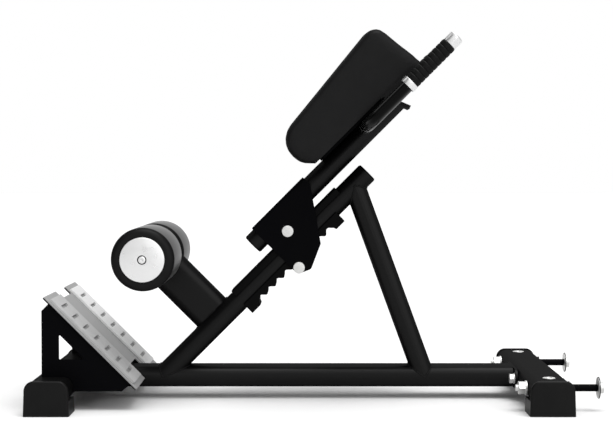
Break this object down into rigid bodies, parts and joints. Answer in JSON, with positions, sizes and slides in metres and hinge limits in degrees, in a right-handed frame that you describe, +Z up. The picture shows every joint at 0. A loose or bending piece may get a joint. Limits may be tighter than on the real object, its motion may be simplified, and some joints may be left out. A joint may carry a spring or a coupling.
{
  "type": "hyperextension bench",
  "caption": "45 degree hyperextension bench: black tube frame, footplate, foam ankle rollers, and a pad carriage with handles that slides on an inclined rail over a notched rack.",
  "frame": {"origin": "on the floor, at the centre of the bounding box", "axes": "+X along the beam, from the footplate to the band pegs; +Y to the left of the user, who stands on the footplate and faces +X; +Z up"},
  "size_m": [1.326, 0.65, 0.8869],
  "materials": {
    "frame_coat": "satin black powder coat",
    "plate_coat": "matt grey coat",
    "tread": "pale grey moulded tread",
    "foot_rubber": "matt moulded rubber",
    "grip_rubber": "matt ribbed rubber",
    "foam": "closed-cell foam with a smooth skin",
    "vinyl": "black upholstery vinyl over foam",
    "board": "black-stained plywood",
    "plastic": "moulded black plastic",
    "zinc": "zinc-plated steel",
    "aluminium": "satin turned aluminium"
  },
  "bodies": {
    "bench_frame": {"main_beam": "frame_coat", "front_cross_tube": "frame_coat", "rear_cross_tube": "frame_coat", "left_flange_bolt": "zinc", "right_flange_bolt": "zinc", "left_flange_nut": "zinc", "right_flange_nut": "zinc", "front_left_foot": "foot_rubber", "front_right_foot": "foot_rubber", "rear_left_foot": "foot_rubber", "rear_right_foot": "foot_rubber", "left_rear_foot_bolt": "zinc", "right_rear_foot_bolt": "zinc", "left_band_peg": "frame_coat", "right_band_peg": "frame_coat", "left_peg_nut": "zinc", "right_peg_nut": "zinc", "left_peg_disc": "zinc", "right_peg_disc": "zinc", "footplate": "plate_coat", "left_tread_strip": "tread", "right_tread_strip": "tread", "left_gusset": "frame_coat", "right_gusset": "frame_coat", "inclined_rail": "frame_coat", "rail_end_plug": "plastic", "top_wear_strip": "plastic", "notch_rack": "plastic", "rear_strut": "frame_coat", "roller_arm": "frame_coat", "roller_arm_plug": "plastic", "roller_axle": "zinc", "left_roller_disc": "aluminium", "right_roller_disc": "aluminium", "left_roller_bolt": "zinc", "right_roller_bolt": "zinc"},
    "carriage": {"carriage_bracket": "frame_coat", "guide_pin": "zinc", "upper_tube": "frame_coat", "upper_tube_plug": "plastic", "pad_mounting_plate": "frame_coat", "left_pad": "vinyl", "right_pad": "vinyl", "left_pad_board": "board", "right_pad_board": "board", "handle_crossbar": "frame_coat", "left_handle_tube": "frame_coat", "right_handle_tube": "frame_coat", "left_handle_collar": "aluminium", "right_handle_collar": "aluminium", "left_grip": "grip_rubber", "right_grip": "grip_rubber", "left_handle_end_cap": "aluminium", "right_handle_end_cap": "aluminium"},
    "lock": {"lock_bar": "zinc"},
    "left_roller": {"left_foam_roller": "foam", "left_roller_core": "plastic"},
    "right_roller": {"right_foam_roller": "foam", "right_roller_core": "plastic"}
  },
  "joints": [
    {"name": "carriage_slide", "type": "slide", "parent": "bench_frame", "child": "carriage", "axis": [0.7071, 0, 0.7071], "range_m": [-0.11472, 0.11472]},
    {"name": "lock_bar_engage", "type": "slide", "parent": "carriage", "child": "lock", "axis": [-0.7071, 0, 0.7071], "range_m": [0, 0.0094]},
    {"name": "left_roller_spin", "type": "hinge", "parent": "bench_frame", "child": "left_roller", "pos_m": [-0.39976, 0.1415, 0.35081], "axis": [0, 1, 0], "continuous": true},
    {"name": "right_roller_spin", "type": "hinge", "parent": "bench_frame", "child": "right_roller", "pos_m": [-0.39976, -0.1415, 0.35081], "axis": [0, 1, 0], "continuous": true}
  ]
}
